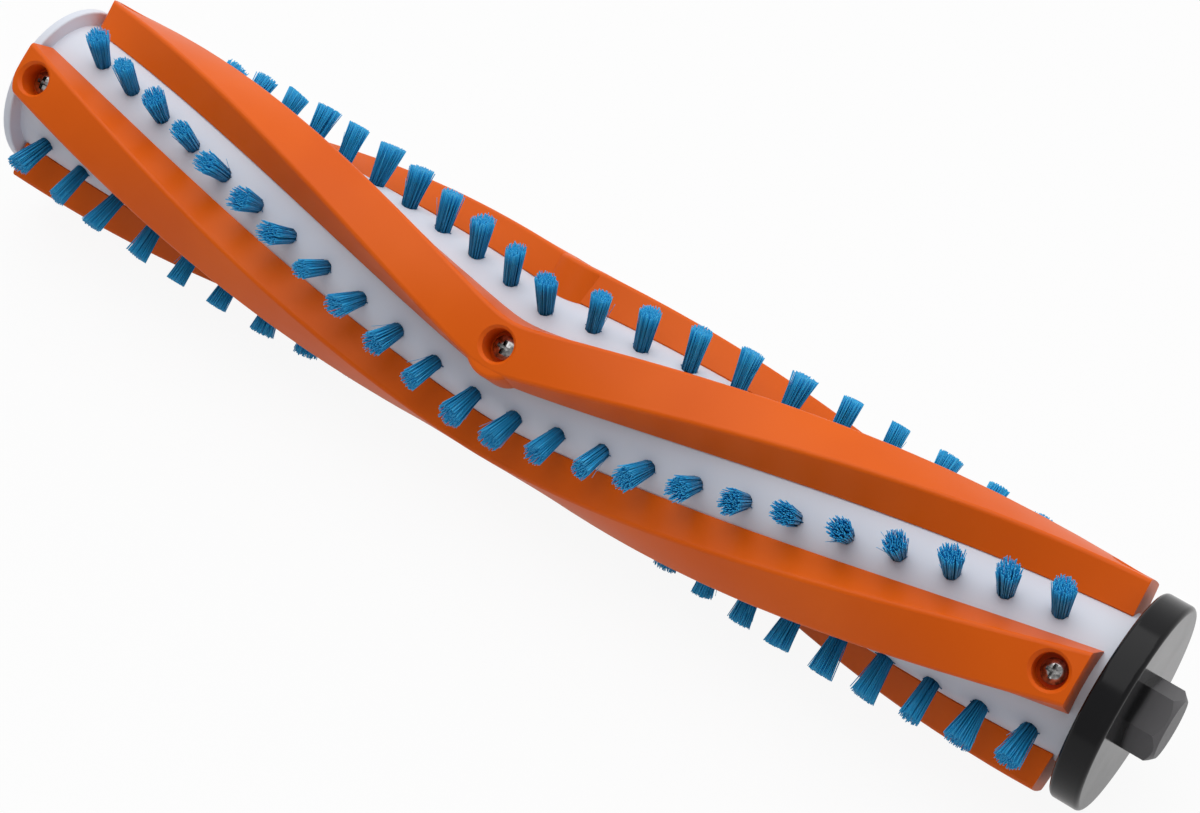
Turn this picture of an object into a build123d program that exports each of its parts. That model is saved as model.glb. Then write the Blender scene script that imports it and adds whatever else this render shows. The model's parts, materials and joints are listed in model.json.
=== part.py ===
from build123d import *
import math
import os

os.makedirs("parts", exist_ok=True)

# Roller: the axis lies along X, and X is zero at the shoulder of the hexagonal stub
turn = 90.0

# Core
core_r = 15.3
core_gap = 0.5
flange_r = 18.4
flange_t = 2.0
flange_edge_r = 0.4
flange_gap = 0.7
socket_r = 6.0
socket_depth = 14.0
key_w = 2.2
key_depth = 1.2
key_count = 3

# Beater bars
arm_twist = 0.75
bar_lead = 45.0
bend_run = 4.5
bar_seat = 0.02
bar_foot_w = 12.7
bar_foot_chamfer = 0.35
bar_top_w = 10.6
bar_shoulder_h = 21.5
bar_crown_h = 21.8
bar_edge_r = 0.9
boss_r = 6.7
boss_draft = 0.7
left_land = 4.8
left_corner_r = 7.6
right_land = 5.4
right_lean = 0.6
end_ring = 1.6

# Screws
screw_reach = 121.0
end_screw_lead = 0.7
screw_seat_h = 16.6
head_r = 2.4
head_h = 1.9
head_dome = 0.6
shank_r = 1.4
shank_len = 8.0
point_len = 1.5
recess_w = 0.8
recess_len = 2.9
recess_depth = 1.3
recess_draft = 10.0
counterbore_r = 3.3
mouth_edge = 0.4
shank_clearance = 0.25
pilot_clearance = 0.02

# Bristle tufts
tuft_steps = 12
tuft_margin = 1.0
tuft_pitch = (screw_reach - tuft_margin) / tuft_steps
tuft_twist = 0.735
tuft_lead = 1.0
tuft_shift = 1.0
tuft_r = 1.6
tuft_tip_r = 2.5
tuft_h = 24.0
tuft_depth = 4.0
tuft_clearance = 0.02
even_stations = [k + 0.5 for k in range(-tuft_steps, tuft_steps)]
odd_stations = list(range(-tuft_steps, tuft_steps + 1))

# End cap
cap_r = 21.0
cap_t = 6.0
cap_edge_r = 0.9
hub_r = 4.2
hub_len = 2.0
hex_af = 12.7
hex_len = 6.6
hex_nose_r = 5.9
pin_socket = 2.0

# Bearing and axle
pin_r = 3.0
pin_tail = 3.2
pin_room = 2.0
pin_chamfer = 0.4
bearing_od_r = 7.5
bearing_w = 5.0
ring_t = 1.35
ball_r = 1.0
ball_count = 9
race_clearance = 0.04
fit_clearance = 0.01
cage_t = 0.6
cage_w = 3.2
cage_clearance = 0.06
shield_t = 0.3
shield_inset = 0.25
shield_gap = 0.1
clip_t = 0.8
clip_r = 4.6
clip_groove = 0.4
pin_pocket_r = 5.6

# Places along the axis, from the end cap to the flange
core_right = -cap_t - core_gap
bar_right = core_right - end_ring
mid_x = bar_right - right_land - screw_reach
tuft_mid = mid_x + tuft_shift
bar_left = mid_x - screw_reach - left_land
core_left = bar_left - flange_gap - flange_t
bearing_right = -cap_t - hub_len
bearing_left = bearing_right - bearing_w
bearing_mid = (bearing_left + bearing_right) / 2
pin_end = bearing_left - clip_t - pin_tail
pin_pocket_end = pin_end - pin_room
pitch_r = (pin_r + bearing_od_r) / 2


def spot(x, angle, height=0.0):
    """Point at a station, an angle about the axis and a height from the axis."""
    a = math.radians(angle)
    return (x, height * math.cos(a), height * math.sin(a))


def radial(x, angle, height=0.0):
    """Plane whose normal points straight out of the roller."""
    a = math.radians(angle)
    return Plane(origin=spot(x, angle, height), x_dir=(1, 0, 0), z_dir=(0, math.cos(a), math.sin(a)))


def across(x):
    """Plane square to the roller's axis."""
    return Plane(origin=(x, 0, 0), x_dir=(0, 1, 0), z_dir=(1, 0, 0))


def section_plane(x, angle):
    """Plane square to the axis whose second direction points straight out at an angle."""
    a = math.radians(angle)
    return Plane(origin=(x, 0, 0), x_dir=(0, math.sin(a), -math.cos(a)), z_dir=(1, 0, 0))


def lengthwise_plane(x, angle):
    """Plane along the axis whose second direction points straight out at an angle."""
    a = math.radians(angle)
    return Plane(origin=(x, 0, 0), x_dir=(1, 0, 0), z_dir=(0, -math.sin(a), math.cos(a)))


def bar_angle(x):
    """Centre line of the first bar: a V with a rounded point."""
    return bar_lead - arm_twist * math.hypot(x - mid_x, bend_run)


def screw_angle(x):
    """Angle of the first bar's screws: on the centre line at the point, and a little ahead of it at the ends."""
    return bar_angle(x) - end_screw_lead * abs(x - mid_x) / screw_reach


def tuft_angle(station):
    """Angle of a tuft in the first row."""
    return tuft_lead - tuft_twist * abs(station * tuft_pitch)


screw_stations = [mid_x - screw_reach, mid_x, mid_x + screw_reach]
rows = [even_stations, odd_stations, even_stations, odd_stations]
screw_spots = [
    radial(x, screw_angle(x) + turn * bar, screw_seat_h).location for bar in range(4) for x in screw_stations
]
tuft_spots = [
    [radial(tuft_mid + k * tuft_pitch, tuft_angle(k) + turn * row, core_r).location for k in rows[row]]
    for row in range(4)
]

# Tuft: straight in its hole, spreading toward the tip
with BuildPart() as tuft_form:
    with BuildSketch():
        RegularPolygon(radius=tuft_r, side_count=8)
    extrude(amount=-tuft_depth)
    with BuildSketch() as tuft_neck:
        RegularPolygon(radius=tuft_r, side_count=8)
    with BuildSketch(Plane.XY.offset(tuft_h - core_r)) as tuft_tip:
        RegularPolygon(radius=tuft_tip_r, side_count=8)
    loft()

# Hole that a tuft is stapled into
with BuildPart() as tuft_hole:
    with BuildSketch(Plane.XY.offset(-tuft_depth - tuft_clearance)):
        RegularPolygon(radius=tuft_r + tuft_clearance, side_count=8)
    extrude(amount=tuft_depth + 1)

for row in range(4):
    with BuildPart() as tuft_row:
        with Locations(*tuft_spots[row]):
            add(tuft_form.part)
    tuft_row.part.label = f"tuft_row_{row + 1}"
    export_step(tuft_row.part, f"parts/tuft_row_{row + 1}.step")

# Screw with a domed head and a cross recess, drawn with its seat at zero and its head upward
with BuildPart() as screw_form:
    dome_r = (head_r**2 + head_dome**2) / (2 * head_dome)
    with BuildSketch(Plane.XZ):
        with BuildLine():
            RadiusArc((0, head_h), (head_r, head_h - head_dome), dome_r)
            Polyline(
                (head_r, head_h - head_dome),
                (head_r, 0),
                (shank_r, 0),
                (shank_r, point_len - shank_len),
                (0, -shank_len),
                (0, head_h),
            )
        make_face()
    revolve(axis=Axis.Z)
    with BuildSketch(Plane.XY.offset(head_h)):
        Rectangle(recess_len, recess_w)
        Rectangle(recess_w, recess_len)
    extrude(amount=-recess_depth, taper=recess_draft, mode=Mode.SUBTRACT)

with BuildPart() as bar_screws:
    with Locations(*screw_spots):
        add(screw_form.part)
bar_screws.part.label = "bar_screws"
export_step(bar_screws.part, "parts/bar_screws.step")

# Chevron bar: one section turned along the axis, with half a boss on the outer side of the V's point
with BuildPart() as bar_form:
    foot_r = core_r + bar_seat
    foot_h = math.sqrt(foot_r**2 - (bar_foot_w / 2) ** 2)
    bar_plane = section_plane(bar_left, bar_angle(bar_left))
    with BuildLine() as bar_axis:
        Line((bar_left, 0, 0), (bar_right, 0, 0))
    guide_stations = [bar_left + (bar_right - bar_left) * k / 40 for k in range(41)]
    with BuildLine() as bar_guide:
        Spline(*[spot(x, bar_angle(x), bar_crown_h) for x in guide_stations])
    with BuildSketch(bar_plane) as bar_section:
        with BuildLine():
            ThreePointArc((-bar_foot_w / 2, foot_h), (0, foot_r), (bar_foot_w / 2, foot_h))
            Line((bar_foot_w / 2, foot_h), (bar_top_w / 2, bar_shoulder_h))
            ThreePointArc((bar_top_w / 2, bar_shoulder_h), (0, bar_crown_h), (-bar_top_w / 2, bar_shoulder_h))
            Line((-bar_top_w / 2, bar_shoulder_h), (-bar_foot_w / 2, foot_h))
        make_face()
        fillet(bar_section.vertices().filter_by_position(Axis.Y, bar_shoulder_h - 1, bar_crown_h), bar_edge_r)
        chamfer(bar_section.vertices().filter_by_position(Axis.Y, foot_h - 0.1, foot_h + 0.1), bar_foot_chamfer)
    sweep(path=bar_axis.wires()[0], binormal=bar_guide.wires()[0])
    point_angle = screw_angle(mid_x)
    with BuildPart(mode=Mode.PRIVATE) as boss:
        with BuildSketch(lengthwise_plane(mid_x, point_angle)) as boss_section:
            with BuildLine():
                Polyline(
                    (0, foot_h - 1),
                    (boss_r + boss_draft, foot_h - 1),
                    (boss_r, bar_shoulder_h),
                    (0, bar_shoulder_h),
                    close=True,
                )
            make_face()
            fillet(boss_section.vertices().sort_by(Axis.Y)[-2:].sort_by(Axis.X)[-1:], bar_edge_r)
        revolve(axis=Axis(spot(mid_x, point_angle), spot(0, point_angle, 1)))
        split(bisect_by=lengthwise_plane(mid_x, point_angle))
        with Locations(across(mid_x).location):
            Cylinder(radius=foot_r, height=4 * boss_r, mode=Mode.SUBTRACT)
    add(boss.part)
    corner_x = left_corner_r - left_land
    with BuildSketch(radial(screw_stations[0], screw_angle(screw_stations[0]))):
        with Locations((corner_x - 2 * left_corner_r, 0)):
            Rectangle(4 * left_corner_r, 3 * bar_foot_w)
        with Locations((corner_x, 0)):
            Circle(left_corner_r, mode=Mode.SUBTRACT)
        with Locations((corner_x - left_corner_r / 2, 0.75 * bar_foot_w)):
            Rectangle(left_corner_r, 1.5 * bar_foot_w, mode=Mode.SUBTRACT)
    extrude(amount=2 * bar_crown_h, mode=Mode.SUBTRACT)
    with BuildSketch(lengthwise_plane(bar_right, bar_angle(bar_right))):
        with BuildLine():
            Polyline((0, foot_h - 1), (-right_lean, bar_crown_h + 1), (1, bar_crown_h + 1), (1, foot_h - 1), close=True)
        make_face()
    extrude(amount=2 * bar_foot_w, both=True, mode=Mode.SUBTRACT)
    for x in screw_stations:
        with BuildSketch(radial(x, screw_angle(x), screw_seat_h)):
            Circle(counterbore_r)
        extrude(amount=2 * counterbore_r, mode=Mode.SUBTRACT)
        with BuildSketch(radial(x, screw_angle(x), bar_shoulder_h - mouth_edge)):
            Circle(counterbore_r)
        extrude(amount=2 * mouth_edge, taper=-45, mode=Mode.SUBTRACT)
        with BuildSketch(radial(x, screw_angle(x), screw_seat_h)):
            Circle(shank_r + shank_clearance)
        extrude(amount=-screw_seat_h / 2, mode=Mode.SUBTRACT)

for bar in range(4):
    with BuildPart() as beater_bar:
        add(bar_form.part.rotate(Axis.X, turn * bar))
    beater_bar.part.label = f"beater_bar_{bar + 1}"
    export_step(beater_bar.part, f"parts/beater_bar_{bar + 1}.step")

# Core with its flange, drive socket, bearing pocket, screw holes and tuft holes
with BuildPart() as roller_core:
    with BuildSketch(across(core_left)):
        Circle(core_r)
    extrude(amount=core_right - core_left)
    with BuildSketch(across(core_left)):
        Circle(flange_r)
    extrude(amount=flange_t)
    fillet(roller_core.edges().filter_by(GeomType.CIRCLE).sort_by(SortBy.RADIUS)[-2:], flange_edge_r)
    with BuildSketch(across(core_left)):
        Circle(socket_r)
    extrude(amount=socket_depth, mode=Mode.SUBTRACT)
    with BuildSketch(across(core_left)):
        with PolarLocations((socket_r + key_depth) / 2, key_count):
            Rectangle(socket_r + key_depth, key_w)
    extrude(amount=socket_depth, mode=Mode.SUBTRACT)
    with BuildSketch(across(bearing_left)):
        Circle(bearing_od_r + fit_clearance)
    extrude(amount=core_right - bearing_left, mode=Mode.SUBTRACT)
    with BuildSketch(across(pin_pocket_end)):
        Circle(pin_pocket_r)
    extrude(amount=bearing_left - pin_pocket_end, mode=Mode.SUBTRACT)
    with Locations(*screw_spots):
        with Locations((0, 0, -shank_len / 2)):
            Cylinder(radius=shank_r + pilot_clearance, height=shank_len + 2 * pilot_clearance, mode=Mode.SUBTRACT)
    for row in range(4):
        with Locations(*tuft_spots[row]):
            add(tuft_hole.part, mode=Mode.SUBTRACT)
roller_core.part.label = "roller_core"
export_step(roller_core.part, "parts/roller_core.step")

# End cap: disc, hub that bears on the inner ring, and hexagonal stub
with BuildPart() as end_cap:
    with BuildSketch(across(-cap_t)):
        Circle(cap_r)
    extrude(amount=cap_t)
    fillet(end_cap.edges().filter_by(GeomType.CIRCLE), cap_edge_r)
    with BuildSketch(across(-cap_t)):
        Circle(hub_r)
    extrude(amount=-hub_len)
    with BuildPart(mode=Mode.PRIVATE) as stub:
        with BuildSketch(across(0)):
            RegularPolygon(radius=hex_af / 2, side_count=6, major_radius=False, rotation=30)
        extrude(amount=hex_len)
        with BuildSketch(lengthwise_plane(0, 90)):
            with BuildLine():
                Polyline(
                    (0, 0),
                    (0, 2 * hex_nose_r),
                    (hex_len - hex_nose_r, 2 * hex_nose_r),
                    (hex_len, hex_nose_r),
                    (hex_len, 0),
                    close=True,
                )
            make_face()
        revolve(axis=Axis.X, mode=Mode.INTERSECT)
    add(stub.part)
    with BuildSketch(across(-cap_t - hub_len)):
        Circle(pin_r)
    extrude(amount=cap_t + hub_len + pin_socket, mode=Mode.SUBTRACT)
end_cap.part.label = "end_cap"
export_step(end_cap.part, "parts/end_cap.step")

# Axle pin with a groove for its retaining ring
with BuildPart() as axle_pin:
    with BuildSketch(across(pin_end)):
        Circle(pin_r)
    extrude(amount=pin_socket - pin_end)
    chamfer(axle_pin.edges().filter_by(GeomType.CIRCLE), pin_chamfer)
    with BuildSketch(across(bearing_left - clip_t)):
        Circle(pin_r + 1)
        Circle(pin_r - clip_groove, mode=Mode.SUBTRACT)
    extrude(amount=clip_t, mode=Mode.SUBTRACT)
axle_pin.part.label = "axle_pin"
export_step(axle_pin.part, "parts/axle_pin.step")

# Open retaining ring in the pin's groove
with BuildPart() as retaining_ring:
    with BuildSketch(across(bearing_left - clip_t + fit_clearance)):
        Circle(clip_r)
        Circle(pin_r - clip_groove + fit_clearance, mode=Mode.SUBTRACT)
        with Locations((0, -clip_r)):
            Rectangle(2 * pin_r * 0.7, 2 * clip_r, mode=Mode.SUBTRACT)
    extrude(amount=clip_t - 2 * fit_clearance)
retaining_ring.part.label = "retaining_ring"
export_step(retaining_ring.part, "parts/retaining_ring.step")

# Ball bearing: the outer ring turns with the core, the inner ring stays on the pin
with BuildPart() as race:
    with BuildSketch(lengthwise_plane(bearing_mid, 0)):
        with Locations((0, pitch_r)):
            Circle(ball_r + race_clearance)
    revolve(axis=Axis.X)

with BuildPart() as bearing_outer_ring:
    with BuildSketch(across(bearing_left)):
        Circle(bearing_od_r)
        Circle(bearing_od_r - ring_t, mode=Mode.SUBTRACT)
    extrude(amount=bearing_w)
    add(race.part, mode=Mode.SUBTRACT)
bearing_outer_ring.part.label = "bearing_outer_ring"
export_step(bearing_outer_ring.part, "parts/bearing_outer_ring.step")

with BuildPart() as bearing_inner_ring:
    with BuildSketch(across(bearing_left)):
        Circle(pin_r + ring_t)
        Circle(pin_r + fit_clearance, mode=Mode.SUBTRACT)
    extrude(amount=bearing_w)
    add(race.part, mode=Mode.SUBTRACT)
bearing_inner_ring.part.label = "bearing_inner_ring"
export_step(bearing_inner_ring.part, "parts/bearing_inner_ring.step")

with BuildPart() as bearing_balls:
    for k in range(ball_count):
        with Locations(spot(bearing_mid, k * 360 / ball_count, pitch_r)):
            Sphere(ball_r)
bearing_balls.part.label = "bearing_balls"
export_step(bearing_balls.part, "parts/bearing_balls.step")

with BuildPart() as bearing_cage:
    with BuildSketch(across(bearing_mid - cage_w / 2)):
        Circle(pitch_r + cage_t / 2)
        Circle(pitch_r - cage_t / 2, mode=Mode.SUBTRACT)
    extrude(amount=cage_w)
    for k in range(ball_count):
        with BuildSketch(radial(bearing_mid, k * 360 / ball_count)):
            Circle(ball_r + cage_clearance)
        extrude(amount=bearing_od_r, mode=Mode.SUBTRACT)
bearing_cage.part.label = "bearing_cage"
export_step(bearing_cage.part, "parts/bearing_cage.step")

for side, x in enumerate([bearing_left + shield_inset, bearing_right - shield_inset - shield_t]):
    with BuildPart() as bearing_shield:
        with BuildSketch(across(x)):
            Circle(bearing_od_r - ring_t)
            Circle(pin_r + ring_t + shield_gap, mode=Mode.SUBTRACT)
        extrude(amount=shield_t)
    bearing_shield.part.label = f"bearing_shield_{side + 1}"
    export_step(bearing_shield.part, f"parts/bearing_shield_{side + 1}.step")
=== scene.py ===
import json
import math
import random
import bpy
from mathutils import Matrix, Vector

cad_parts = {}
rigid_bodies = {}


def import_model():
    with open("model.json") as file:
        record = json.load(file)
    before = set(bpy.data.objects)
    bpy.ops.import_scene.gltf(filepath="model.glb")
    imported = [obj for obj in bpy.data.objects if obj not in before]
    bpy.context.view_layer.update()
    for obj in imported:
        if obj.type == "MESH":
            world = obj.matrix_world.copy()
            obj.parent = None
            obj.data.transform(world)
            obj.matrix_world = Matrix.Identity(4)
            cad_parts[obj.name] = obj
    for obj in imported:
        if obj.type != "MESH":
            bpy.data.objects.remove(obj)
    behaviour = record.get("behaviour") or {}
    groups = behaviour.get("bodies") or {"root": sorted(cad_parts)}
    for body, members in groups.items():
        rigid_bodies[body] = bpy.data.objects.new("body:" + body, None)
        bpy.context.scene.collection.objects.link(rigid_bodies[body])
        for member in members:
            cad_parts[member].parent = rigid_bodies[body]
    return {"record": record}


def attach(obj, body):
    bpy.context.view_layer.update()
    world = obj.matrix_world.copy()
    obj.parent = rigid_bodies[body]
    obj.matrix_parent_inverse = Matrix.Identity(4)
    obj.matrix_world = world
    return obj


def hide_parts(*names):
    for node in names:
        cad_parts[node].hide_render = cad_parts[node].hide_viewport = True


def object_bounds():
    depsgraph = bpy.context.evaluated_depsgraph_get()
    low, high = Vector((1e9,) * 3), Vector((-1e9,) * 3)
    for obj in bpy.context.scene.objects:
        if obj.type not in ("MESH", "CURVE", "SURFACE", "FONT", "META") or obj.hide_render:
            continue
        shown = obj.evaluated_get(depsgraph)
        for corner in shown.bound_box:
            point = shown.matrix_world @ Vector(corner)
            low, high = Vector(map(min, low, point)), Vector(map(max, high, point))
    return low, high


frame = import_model()
cad_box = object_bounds()

MM = 0.001

# Sizes shared with the part's source, in millimetres, degrees, and degrees a millimetre for the twist
TUFT_MID = -133.5
CORE_R = 15.3
PITCH = 10.0
TUFT_TWIST = 0.735
TUFT_LEAD = 1.0
TUFT_R = 1.6
TUFT_TIP_R = 2.5
TUFT_H = 24.0
HALF_ROW = 12
EVEN = [k + 0.5 for k in range(-HALF_ROW, HALF_ROW)]
ODD = list(range(-HALF_ROW, HALF_ROW + 1))
ROWS = [EVEN, ODD, EVEN, ODD]

# Heights of fine surface relief, in metres
GRAIN_DEPTH = 0.00005
TURNING_DEPTH = 0.00003

# Where the stub's satin texture and lighter tone begin and are full, in metres along the axis; closer
# to the disc's face the stub is painted darker as contact shade
SATIN_AND_SHADE_START = 0.0002
SATIN_AND_SHADE_FULL = 0.0018


# Shader building blocks
def new_material(name):
    """Empty node material with its shader."""
    mat = bpy.data.materials.new(name)
    mat.use_nodes = True
    return mat, mat.node_tree, mat.node_tree.nodes["Principled BSDF"]


def noise(tree, scale, detail):
    """Noise in object space, in cycles a metre."""
    coord = tree.nodes.new("ShaderNodeTexCoord")
    tex = tree.nodes.new("ShaderNodeTexNoise")
    tex.inputs["Scale"].default_value = scale
    tex.inputs["Detail"].default_value = detail
    tex.inputs["Roughness"].default_value = 0.5
    tree.links.new(coord.outputs["Object"], tex.inputs["Vector"])
    return tex.outputs["Fac"]


def component(tree, kind, axis):
    """One component of a texture coordinate."""
    coord = tree.nodes.new("ShaderNodeTexCoord")
    split = tree.nodes.new("ShaderNodeSeparateXYZ")
    tree.links.new(coord.outputs[kind], split.inputs["Vector"])
    return split.outputs[axis]


def combine(tree, operation, *values):
    """Result of a sum on values, each one a socket or a number."""
    node = tree.nodes.new("ShaderNodeMath")
    node.operation = operation
    for socket, value in zip(node.inputs, values):
        if isinstance(value, float):
            socket.default_value = value
        else:
            tree.links.new(value, socket)
    return node.outputs["Value"]


def ramp(tree, source, stops):
    """Colour ramp fed by a value."""
    node = tree.nodes.new("ShaderNodeValToRGB")
    elements = node.color_ramp.elements
    while len(elements) < len(stops):
        elements.new(0.5)
    for element, (place, colour) in zip(elements, stops):
        element.position = place
        element.color = (*colour, 1.0)
    tree.links.new(source, node.inputs["Fac"])
    return node.outputs["Color"]


def spread(tree, source, low, high, start=0.0, end=1.0, curve="LINEAR"):
    """Value mapped from the span between start and end onto a range."""
    node = tree.nodes.new("ShaderNodeMapRange")
    node.interpolation_type = curve
    node.inputs["From Min"].default_value = start
    node.inputs["From Max"].default_value = end
    node.inputs["To Min"].default_value = low
    node.inputs["To Max"].default_value = high
    tree.links.new(source, node.inputs["Value"])
    return node.outputs["Result"]


def bump(tree, shader, source, strength, depth):
    """Fine surface relief."""
    node = tree.nodes.new("ShaderNodeBump")
    node.inputs["Strength"].default_value = strength
    node.inputs["Distance"].default_value = depth
    tree.links.new(source, node.inputs["Height"])
    tree.links.new(node.outputs["Normal"], shader.inputs["Normal"])


# Materials
def moulded(name, dark, light, rough, specular, grain):
    """Moulded plastic: slow tone drift, uneven gloss and a fine grain."""
    mat, tree, shader = new_material(name)
    shader.inputs["Specular IOR Level"].default_value = specular
    drift = noise(tree, 35.0, 2.0)
    tree.links.new(ramp(tree, drift, [(0.3, dark), (0.7, light)]), shader.inputs["Base Color"])
    patch = noise(tree, 160.0, 4.0)
    tree.links.new(spread(tree, patch, *rough), shader.inputs["Roughness"])
    fine = noise(tree, 2600.0, 2.0)
    bump(tree, shader, fine, grain, GRAIN_DEPTH)
    return mat


def capped():
    """Black moulding: a smooth disc, and a lighter satin stub beyond the disc's face, painted darker
    next to that face as contact shade.
    """
    mat, tree, shader = new_material("black_plastic")
    shader.inputs["Specular IOR Level"].default_value = 0.2
    # The stub's tone rises over its first 1.8 mm from the disc's face: painted contact shade at its
    # root, then its own lighter satin grey
    stub = spread(tree, component(tree, "Object", "X"), 0.0, 0.7, SATIN_AND_SHADE_START, SATIN_AND_SHADE_FULL)
    drift = noise(tree, 120.0, 4.0)
    tone = combine(tree, "MULTIPLY_ADD", drift, 0.3, stub)
    stops = [
        (0.0, (0.005, 0.005, 0.006)),
        (0.3, (0.009, 0.009, 0.010)),
        (0.7, (0.108, 0.106, 0.111)),
        (1.0, (0.138, 0.135, 0.141)),
    ]
    tree.links.new(ramp(tree, tone, stops), shader.inputs["Base Color"])
    tree.links.new(spread(tree, tone, 0.09, 0.50), shader.inputs["Roughness"])
    fine = noise(tree, 2600.0, 2.0)
    bump(tree, shader, fine, 0.03, GRAIN_DEPTH)
    return mat


def plated():
    """Bright nickel plate with faint scuffs."""
    mat, tree, shader = new_material("plated_steel")
    shader.inputs["Metallic"].default_value = 1.0
    tone = noise(tree, 900.0, 3.0)
    stops = [(0.35, (0.14, 0.138, 0.136)), (0.65, (0.60, 0.592, 0.585))]
    tree.links.new(ramp(tree, tone, stops), shader.inputs["Base Color"])
    scuff = noise(tree, 3000.0, 4.0)
    tree.links.new(spread(tree, scuff, 0.10, 0.22), shader.inputs["Roughness"])
    bump(tree, shader, scuff, 0.10, GRAIN_DEPTH)
    return mat


def ground():
    """Ground bearing steel with fine marks."""
    mat, tree, shader = new_material("ground_steel")
    shader.inputs["Metallic"].default_value = 1.0
    tone = noise(tree, 500.0, 3.0)
    stops = [(0.3, (0.46, 0.47, 0.48)), (0.7, (0.60, 0.61, 0.62))]
    tree.links.new(ramp(tree, tone, stops), shader.inputs["Base Color"])
    marks = noise(tree, 4000.0, 2.0)
    tree.links.new(spread(tree, marks, 0.20, 0.34), shader.inputs["Roughness"])
    bump(tree, shader, marks, 0.08, TURNING_DEPTH)
    return mat


def nylon():
    """Nylon filament: painted shade that leaves it dark at its root and lighter toward the tip, each
    one a little different.
    """
    mat, tree, shader = new_material("blue_nylon")
    shader.inputs["Specular IOR Level"].default_value = 0.25
    shade = tree.nodes.new("ShaderNodeAttribute")
    shade.attribute_name = "shade"
    # Painted shade: the shade attribute darkens each filament toward its root
    stops = [
        (0.0, (0.004, 0.085, 0.20)),
        (0.35, (0.010, 0.26, 0.56)),
        (0.75, (0.022, 0.41, 0.79)),
        (1.0, (0.07, 0.52, 0.86)),
    ]
    tree.links.new(ramp(tree, shade.outputs["Fac"], stops), shader.inputs["Base Color"])
    gloss = noise(tree, 4000.0, 2.0)
    tree.links.new(spread(tree, gloss, 0.28, 0.42), shader.inputs["Roughness"])
    return mat


LOOK = {
    "white_plastic": moulded(
        "white_plastic",
        dark=(0.69, 0.722, 0.805),
        light=(0.73, 0.762, 0.84),
        rough=(0.38, 0.50),
        specular=0.2,
        grain=0.06,
    ),
    "orange_plastic": moulded(
        "orange_plastic",
        dark=(0.74, 0.106, 0.001),
        light=(0.81, 0.127, 0.003),
        rough=(0.34, 0.44),
        specular=0.18,
        grain=0.08,
    ),
    "black_plastic": capped(),
    "plated_steel": plated(),
    "ground_steel": ground(),
    "blue_nylon": nylon(),
}
for part in frame["record"]["subparts"]:
    node = bpy.data.objects[part["node"]]
    node.data.materials.clear()
    node.data.materials.append(LOOK[part["material_slot"]])


# Bristle tufts: each filament is a thin tapered tube, with sizes in millimetres
FILAMENTS = 180
FILAMENT_R = 0.115
FILAMENT_SIDES = 5
FILAMENT_RINGS = 3
FILAMENT_TAPER = 0.15
STRAY_R = 0.06
FOOT_R = 0.13
ROOT_DEPTH = 0.8
TIP_LIMIT = 24.05
TIP_SLACK = 0.6
GOLDEN_ANGLE = 2.399963
FIRST_SEED = 4100

# Tones at a filament's root and tip, from dark to light; the darker root is painted shade
BUNDLE_TONES = (0.10, 0.82)
STRAY_TONES = (0.35, 1.0)
FOOT_TONES = (0.0, 0.12)


def filament(mesh, root, tip, bow, radius, tones, side, out):
    """Adds one bent tube from root to tip. Its tone runs from the first value to the second."""
    verts, faces, shades = mesh
    start = len(verts)
    for ring in range(FILAMENT_RINGS + 1):
        f = ring / FILAMENT_RINGS
        centre = root.lerp(tip, f) + bow * (4 * f * (1 - f))
        r = radius * (1.0 - FILAMENT_TAPER * f)
        for k in range(FILAMENT_SIDES):
            a = 2 * math.pi * k / FILAMENT_SIDES
            verts.append(centre + side * (r * math.cos(a)) + out * (r * math.sin(a)))
            shades.append(max(0.0, min(1.0, tones[0] + (tones[1] - tones[0]) * f)))
    for ring in range(FILAMENT_RINGS):
        for k in range(FILAMENT_SIDES):
            a = start + ring * FILAMENT_SIDES + k
            b = start + ring * FILAMENT_SIDES + (k + 1) % FILAMENT_SIDES
            faces.append((a, b, b + FILAMENT_SIDES, a + FILAMENT_SIDES))
    last = start + FILAMENT_RINGS * FILAMENT_SIDES
    faces.append(tuple(last + k for k in range(FILAMENT_SIDES)))
    faces.append(tuple(start + k for k in reversed(range(FILAMENT_SIDES))))


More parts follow.
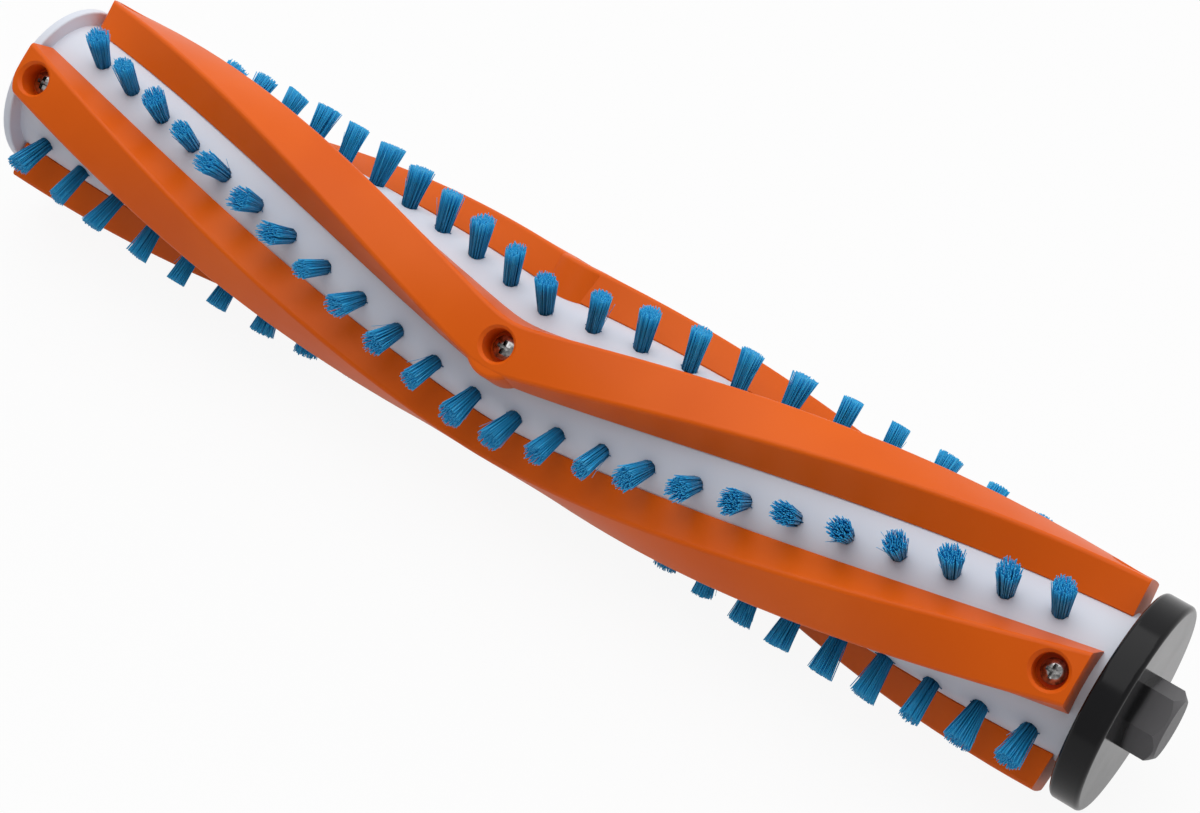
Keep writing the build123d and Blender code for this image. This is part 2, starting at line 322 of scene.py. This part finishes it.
def tuft(rng, mesh, x, angle):
    """One bundle of filaments that stands out of the core and spreads toward its tip."""
    root_h = CORE_R - ROOT_DEPTH
    a = math.radians(angle)
    up = Vector((0, math.cos(a), math.sin(a)))
    along = Vector((1, 0, 0))
    around = up.cross(along)
    base = Vector((x, 0, 0)) + up * root_h
    flare = rng.uniform(1.28, 1.78)
    stretch = rng.uniform(0.92, 1.14)
    lean = Vector((rng.gauss(0.1, 0.3), rng.gauss(0, 0.22)))
    top = TUFT_H - root_h - rng.uniform(0.0, 0.3)
    tilt = Vector((rng.gauss(0, 0.06), rng.gauss(0, 0.06)))
    limit = TUFT_TIP_R + TIP_SLACK
    # Bundle, packed in a spiral round the tuft's middle
    for k in range(FILAMENTS):
        r = math.sqrt((k + 0.5) / FILAMENTS) * (TUFT_R - FILAMENT_R)
        t = k * GOLDEN_ANGLE + rng.uniform(-0.2, 0.2)
        px = r * math.cos(t)
        py = r * math.sin(t)
        wider = flare * rng.uniform(0.90, 1.10)
        tx = px * wider * stretch + lean.x + rng.gauss(0, 0.10)
        ty = py * wider / stretch + lean.y + rng.gauss(0, 0.10)
        reach = math.hypot(tx, ty)
        if reach > limit:
            tx, ty = tx * limit / reach, ty * limit / reach
        length = top + tilt.x * tx + tilt.y * ty - abs(rng.gauss(0, 0.10))
        length = min(length, math.sqrt(TIP_LIMIT**2 - ty**2) - root_h)
        root = base + along * px + around * py
        tip = base + along * tx + around * ty + up * length
        bow = (along * px + around * py) * rng.uniform(-0.10, 0.04)
        tone = rng.gauss(0, 0.10)
        radius = FILAMENT_R * rng.uniform(0.88, 1.08)
        tones = [value + tone for value in BUNDLE_TONES]
        filament(mesh, root, tip, bow, radius, tones, along, around)
    # Up to three thin strays that stand off the bundle
    for _ in range(rng.choice([0, 0, 1, 2, 3])):
        t = rng.uniform(0, 2 * math.pi)
        out = along * math.cos(t) + around * math.sin(t)
        root = base + out * (TUFT_R - 0.2)
        tip = base + out * rng.uniform(2.4, 3.4) + up * top * rng.uniform(0.62, 0.92)
        filament(mesh, root, tip, out * -0.15, STRAY_R, STRAY_TONES, along, around)
    # Two short ends at the foot, painted in the darkest tone as shade at the root
    for side in (-1, 1):
        root = base + along * side * (TUFT_R - 0.25) + up * 0.75
        tip = root + along * side * rng.uniform(0.35, 0.8)
        tip = tip + around * rng.gauss(0, 0.25)
        tip = tip + up * rng.uniform(0.12, 0.4)
        filament(mesh, root, tip, up * 0.08, FOOT_R, FOOT_TONES, around * side, up)


def tuft_row(row):
    """All the tufts of one row as one mesh."""
    rng = random.Random(FIRST_SEED + row)
    verts, faces, shades = [], [], []
    for k in ROWS[row]:
        angle = TUFT_LEAD - TUFT_TWIST * abs(k * PITCH) + 90 * row
        tuft(rng, (verts, faces, shades), TUFT_MID + k * PITCH, angle)
    mesh = bpy.data.meshes.new(f"bristle_row_{row + 1}")
    mesh.from_pydata([v * MM for v in verts], [], faces)
    layer = mesh.attributes.new("shade", "FLOAT", "POINT")
    layer.data.foreach_set("value", shades)
    mesh.polygons.foreach_set("use_smooth", [True] * len(mesh.polygons))
    mesh.materials.append(LOOK["blue_nylon"])
    obj = bpy.data.objects.new(f"bristle_row_{row + 1}", mesh)
    bpy.context.scene.collection.objects.link(obj)
    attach(obj, "roller")
    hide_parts(f"tuft_row_{row + 1}")


for row in range(len(ROWS)):
    tuft_row(row)


# Floor, light and camera
FLOOR_HALF = 4.0
FLOOR_GAP = 0.0005
FLOOR_WHITE_SHARE = 0.92
FLOOR_IN_REFLECTIONS = 0.55
STUDIO_IN_REFLECTIONS = 0.5


def seen(tree, gloss):
    """One for a ray from the camera or through glass, a part of one for a reflection, else zero."""
    path = tree.nodes.new("ShaderNodeLightPath")
    dimmed = combine(tree, "MULTIPLY", path.outputs["Is Glossy Ray"], gloss)
    either = combine(tree, "MAXIMUM", path.outputs["Is Camera Ray"], dimmed)
    return combine(tree, "MAXIMUM", either, path.outputs["Is Transmission Ray"])


def floor():
    """Pale floor just under the lowest bristles, which keeps a soft shadow."""
    mesh = bpy.data.meshes.new("floor")
    s = FLOOR_HALF
    z = cad_box[0][2] - FLOOR_GAP
    mesh.from_pydata([(-s, -s, z), (s, -s, z), (s, s, z), (-s, s, z)], [], [(0, 1, 2, 3)])
    mat, tree, shader = new_material("floor")
    shader.inputs["Base Color"].default_value = (0.78, 0.78, 0.785, 1)
    shader.inputs["Roughness"].default_value = 0.9
    shader.inputs["Specular IOR Level"].default_value = 0.1
    glow = tree.nodes.new("ShaderNodeEmission")
    mix = tree.nodes.new("ShaderNodeMixShader")
    share = combine(tree, "MULTIPLY", seen(tree, FLOOR_IN_REFLECTIONS), FLOOR_WHITE_SHARE)
    tree.links.new(share, mix.inputs["Fac"])
    tree.links.new(shader.outputs["BSDF"], mix.inputs[1])
    tree.links.new(glow.outputs["Emission"], mix.inputs[2])
    tree.links.new(mix.outputs["Shader"], tree.nodes["Material Output"].inputs["Surface"])
    mesh.materials.append(mat)
    obj = bpy.data.objects.new("floor", mesh)
    bpy.context.scene.collection.objects.link(obj)


def lamp(name, place, aim, size, power):
    """Square soft lamp turned to a point."""
    data = bpy.data.lights.new(name, "AREA")
    data.size = size
    data.energy = power
    obj = bpy.data.objects.new(name, data)
    obj.location = place
    obj.rotation_euler = (Vector(aim) - Vector(place)).to_track_quat("-Z", "Y").to_euler()
    bpy.context.scene.collection.objects.link(obj)


def world():
    """White studio: bright behind the roller and dimmer on the side that faces it."""
    studio = bpy.data.worlds.new("studio")
    bpy.context.scene.world = studio
    studio.use_nodes = True
    tree = studio.node_tree
    back = tree.nodes["Background"]
    back.inputs["Color"].default_value = (1, 1, 1, 1)
    direction = component(tree, "Generated", "Y")
    fall = spread(tree, direction, 0.29, 0.86, start=-0.75, end=0.55, curve="SMOOTHSTEP")
    level = combine(tree, "MAXIMUM", fall, seen(tree, STUDIO_IN_REFLECTIONS))
    tree.links.new(level, back.inputs["Strength"])


def camera():
    """Camera fitted to the photograph."""
    data = bpy.data.cameras.new("camera")
    data.sensor_width = 36.0
    data.sensor_fit = "HORIZONTAL"
    data.lens = 75.95
    obj = bpy.data.objects.new("camera", data)
    right = Vector((0.80485, 0.58953, 0.06843))
    up = Vector((-0.46893, 0.56102, 0.68218))
    back = Vector((0.36377, -0.58114, 0.72798))
    turn = Matrix((right, up, back)).transposed().to_4x4()
    obj.matrix_world = Matrix.Translation((0.06154, -0.28865, 0.35926)) @ turn
    bpy.context.scene.collection.objects.link(obj)
    bpy.context.scene.camera = obj


floor()
world()
lamp("key", place=(-0.30, 0.10, 1.0), aim=(-0.13, 0, 0), size=1.2, power=5.9)
camera()

bpy.context.scene.view_settings.view_transform = "Standard"
